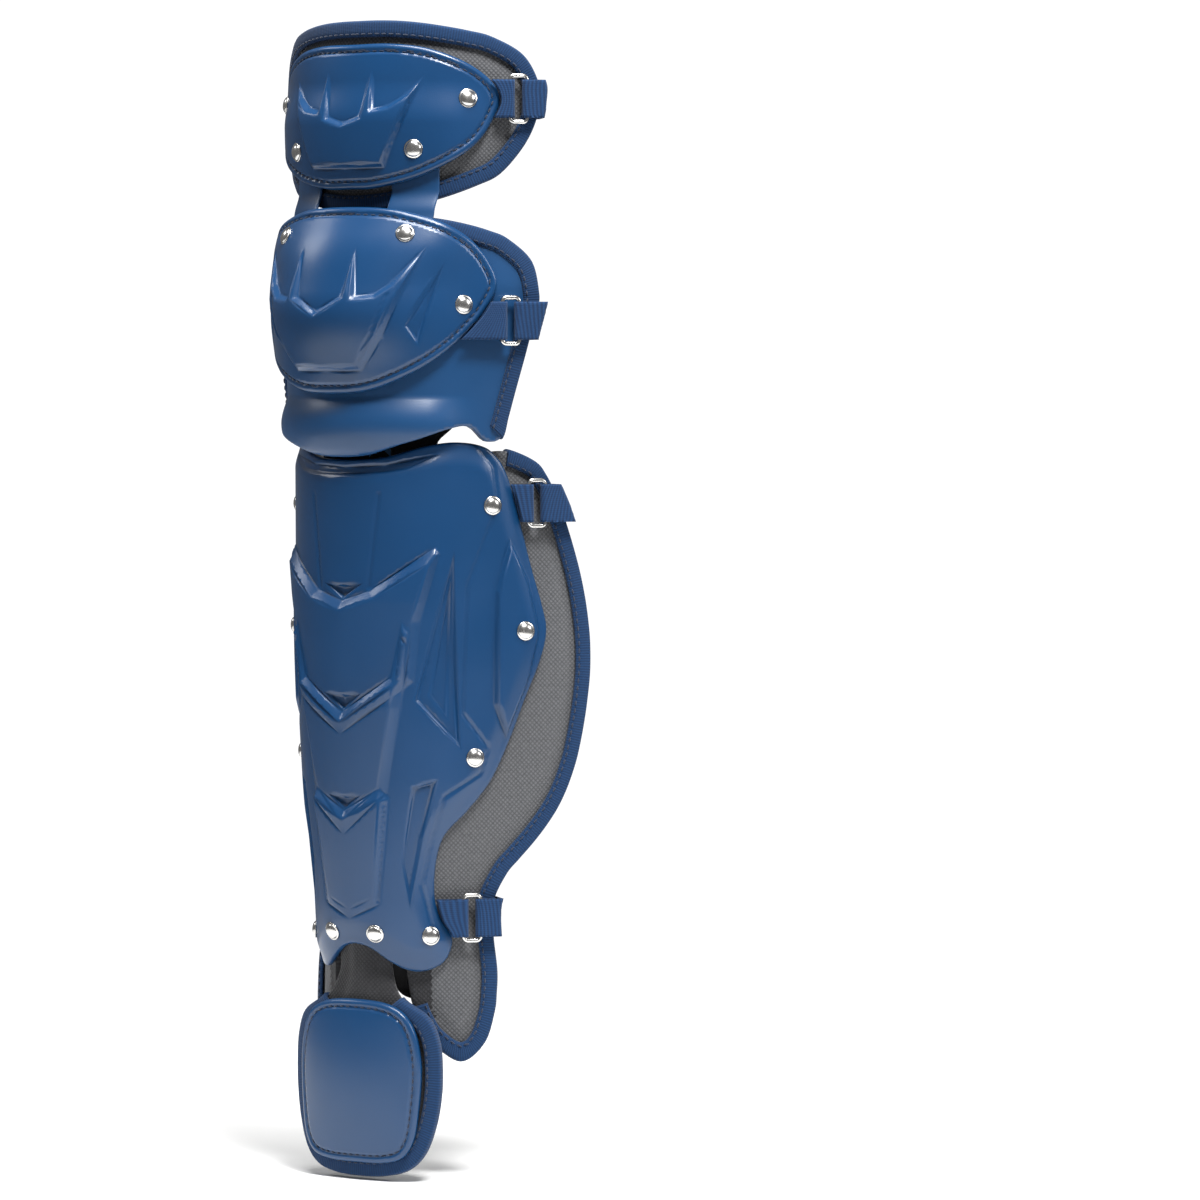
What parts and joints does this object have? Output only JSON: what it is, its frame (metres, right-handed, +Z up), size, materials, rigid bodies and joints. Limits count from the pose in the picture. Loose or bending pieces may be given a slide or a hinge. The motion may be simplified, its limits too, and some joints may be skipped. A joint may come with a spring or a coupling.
{
  "type": "catcher leg guard",
  "caption": "Leg guard with a curved thigh plate, knee cap and long ridged shin shell over padded wings, a toe flap, a liner, and strap rings down one side.",
  "frame": {"origin": "seat of the shin on the liner's inner face, 300 mm above the bottom of the toe flap", "axes": "+Z up the leg, -Y towards the front of the guard, +X towards the strap rings"},
  "size_m": [0.1949, 0.1316, 0.643],
  "materials": {
    "moulded_plastic": "semi-gloss moulded surface with a fine grain",
    "cloth": "grey woven cloth outside and open mesh inside over foam",
    "binding": "folded woven edge binding",
    "liner": "brushed knit over foam",
    "webbing": "ribbed webbing",
    "nickel": "polished nickel plate"
  },
  "bodies": {
    "root": {"ankle_ring": "nickel", "ankle_rivet_front_left": "nickel", "ankle_rivet_front_right": "nickel", "ankle_rivet_side_left": "nickel", "ankle_rivet_side_right": "nickel", "ankle_strap_tab": "webbing", "ankle_strap_tail": "webbing", "calf_ring": "nickel", "calf_strap_tab": "webbing", "calf_strap_tail": "webbing", "hinge_tab_left": "moulded_plastic", "hinge_tab_right": "moulded_plastic", "knee_binding": "binding", "knee_pad": "moulded_plastic", "knee_plate": "moulded_plastic", "knee_ring": "nickel", "knee_rivet_outer_left": "nickel", "knee_rivet_outer_right": "nickel", "knee_rivet_tab_left": "nickel", "knee_rivet_tab_right": "nickel", "knee_strap_tab": "webbing", "knee_strap_tail": "webbing", "leg_liner": "liner", "shin_binding_left": "binding", "shin_binding_right": "binding", "shin_pad": "cloth", "shin_rivet_lower_left": "nickel", "shin_rivet_lower_right": "nickel", "shin_rivet_middle_left": "nickel", "shin_rivet_middle_right": "nickel", "shin_rivet_upper_left": "nickel", "shin_rivet_upper_right": "nickel", "shin_shell": "moulded_plastic", "thigh_binding": "binding", "thigh_pad": "cloth", "thigh_plate": "moulded_plastic", "thigh_ring": "nickel", "thigh_rivet_outer_left": "nickel", "thigh_rivet_outer_right": "nickel", "thigh_rivet_tab_left": "nickel", "thigh_rivet_tab_right": "nickel", "thigh_strap_tab": "webbing", "thigh_strap_tail": "webbing", "toe_binding": "binding", "toe_pad": "cloth", "toe_plate": "moulded_plastic"}
  },
  "joints": []
}
